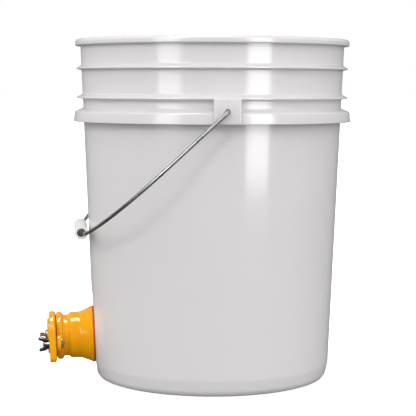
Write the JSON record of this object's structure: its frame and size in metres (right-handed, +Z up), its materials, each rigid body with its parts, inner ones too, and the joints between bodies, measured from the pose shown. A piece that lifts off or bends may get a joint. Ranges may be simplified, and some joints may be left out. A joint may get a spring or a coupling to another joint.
{
  "type": "fermenting bucket",
  "caption": "Tapered plastic fermenting pail with two stiffening ribs, a wire bail with a loose grip, and a yellow swing gate low on the wall.",
  "frame": {"origin": "centre of the foot ring, on the surface that the pail stands on", "axes": "+Z up the pail's axis; -X towards the gate; the bail's ears are on -Y and +Y"},
  "size_m": [0.3433, 0.3248, 0.3713],
  "materials": {
    "natural_hdpe": "natural translucent HDPE, satin, faint flow lines and fine scratches",
    "yellow_plastic": "warm yellow moulded plastic, semi-gloss",
    "red_rubber": "dark red rubber, satin",
    "black_rubber": "black rubber, satin",
    "zinc_steel": "zinc-plated steel",
    "bail_steel": "bright galvanised wire",
    "grip_plastic": "natural translucent plastic, satin"
  },
  "bodies": {
    "root": {"pail": "natural_hdpe", "flange_gasket": "red_rubber", "spout_body": "yellow_plastic", "lock_nut": "yellow_plastic", "face_seal": "black_rubber", "pivot_bolt": "zinc_steel", "latch_bolt": "zinc_steel"},
    "bail": {"bail_wire": "bail_steel"},
    "grip": {"bail_grip": "grip_plastic"},
    "gate": {"gate_plate": "yellow_plastic"},
    "pivot_washer": {"pivot_washer": "zinc_steel"},
    "pivot_nut": {"pivot_wing_nut": "zinc_steel"},
    "latch_washer": {"latch_washer": "zinc_steel"},
    "latch_nut": {"latch_wing_nut": "zinc_steel"}
  },
  "joints": [
    {"name": "bail_swing", "type": "hinge", "parent": "root", "child": "bail", "pos_m": [0, 0, 0.2948], "axis": [0, 1, 0], "range_deg": [0, 263]},
    {"name": "grip_spin", "type": "hinge", "parent": "bail", "child": "grip", "pos_m": [-0.14461, 0, 0.16403], "axis": [0, 1, 0], "continuous": true},
    {"name": "gate_swing", "type": "hinge", "parent": "root", "child": "gate", "pos_m": [-0.17593, 0.031, 0.04202], "axis": [-0.9991, 0, -0.0419], "range_deg": [0, 95]},
    {"name": "pivot_nut_travel", "type": "slide", "parent": "root", "child": "pivot_washer", "axis": [-0.9991, 0, -0.0419], "range_m": [0, 0.002]},
    {"name": "pivot_nut_turn", "type": "hinge", "parent": "pivot_washer", "child": "pivot_nut", "pos_m": [-0.17593, 0.031, 0.04202], "axis": [-0.9991, 0, -0.0419], "range_deg": [0, 720]},
    {"name": "latch_nut_travel", "type": "slide", "parent": "root", "child": "latch_washer", "axis": [-0.9991, 0, -0.0419], "range_m": [0, 0.002]},
    {"name": "latch_nut_turn", "type": "hinge", "parent": "latch_washer", "child": "latch_nut", "pos_m": [-0.17593, -0.031, 0.04202], "axis": [-0.9991, 0, -0.0419], "range_deg": [0, 720]}
  ],
  "couplings": [
    {"joint": "pivot_nut_travel", "follows": "pivot_nut_turn", "m_per_rad": 0.00015915},
    {"joint": "latch_nut_travel", "follows": "latch_nut_turn", "m_per_rad": 0.00015915}
  ]
}
